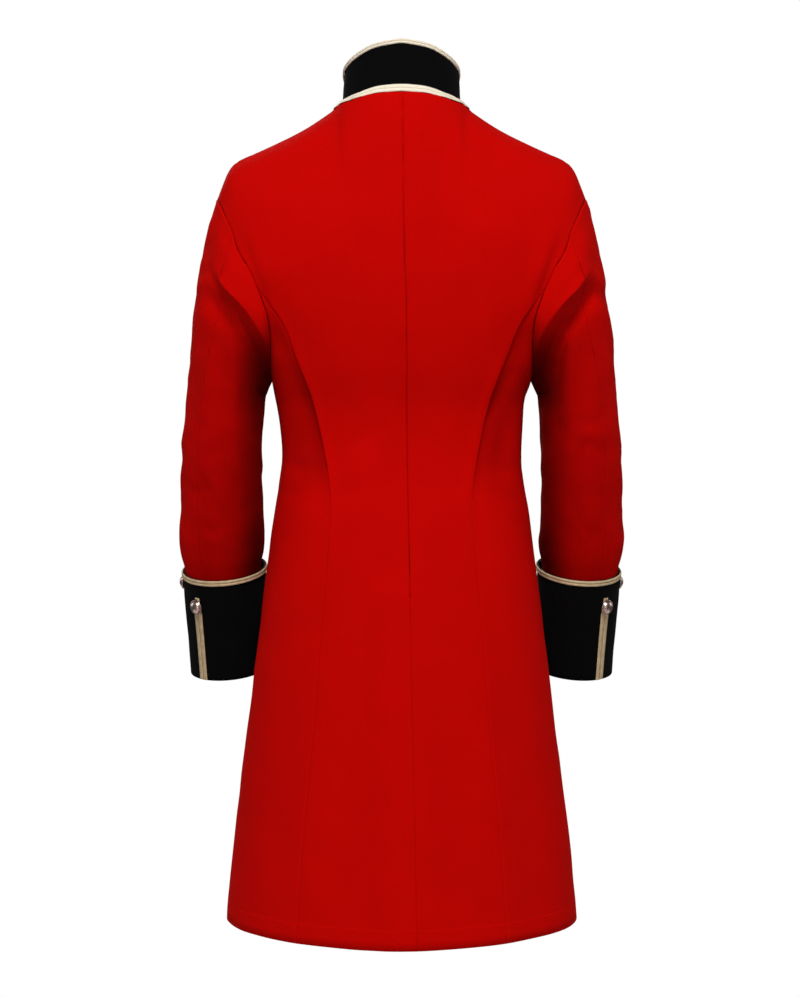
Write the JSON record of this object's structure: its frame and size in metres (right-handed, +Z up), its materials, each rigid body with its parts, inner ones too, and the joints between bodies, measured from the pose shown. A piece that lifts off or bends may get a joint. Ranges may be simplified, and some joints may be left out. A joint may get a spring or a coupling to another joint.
{
  "type": "knee-length military jacket",
  "caption": "Knee-length fitted coat with a stand collar, turn-back cuffs, braid trim, domed buttons and a back vent, in its hollow worn form.",
  "frame": {"origin": "middle of the neck base, where the coat hangs from the wearer's shoulders", "axes": "+Z up, +Y out of the coat's back, -Y out of its front, +X the wearer's left"},
  "size_m": [0.5682, 0.3578, 1.0811],
  "materials": {
    "red_wool": "matte wool cloth",
    "black_wool": "matte wool cloth",
    "gold_braid": "plaited metallic cord",
    "brass_button": "dull polished metal"
  },
  "bodies": {
    "root": {"back_left": "red_wool", "back_right": "red_wool", "side_left": "red_wool", "side_right": "red_wool", "front_left": "red_wool", "front_right": "red_wool", "sleeve_upper_left": "red_wool", "sleeve_upper_right": "red_wool", "sleeve_under_left": "red_wool", "sleeve_under_right": "red_wool", "collar": "black_wool", "cuff_left": "black_wool", "cuff_right": "black_wool", "collar_base_braid": "gold_braid", "collar_top_braid": "gold_braid", "cuff_rim_braid_left": "gold_braid", "cuff_back_braid_left": "gold_braid", "cuff_side_braid_left": "gold_braid", "cuff_rim_braid_right": "gold_braid", "cuff_back_braid_right": "gold_braid", "cuff_side_braid_right": "gold_braid", "cuff_back_button_left": "brass_button", "cuff_side_button_left": "brass_button", "cuff_back_button_right": "brass_button", "cuff_side_button_right": "brass_button", "front_button_1": "brass_button", "front_button_2": "brass_button", "front_button_3": "brass_button", "front_button_4": "brass_button", "front_button_5": "brass_button", "front_button_6": "brass_button", "front_button_7": "brass_button"}
  },
  "joints": []
}
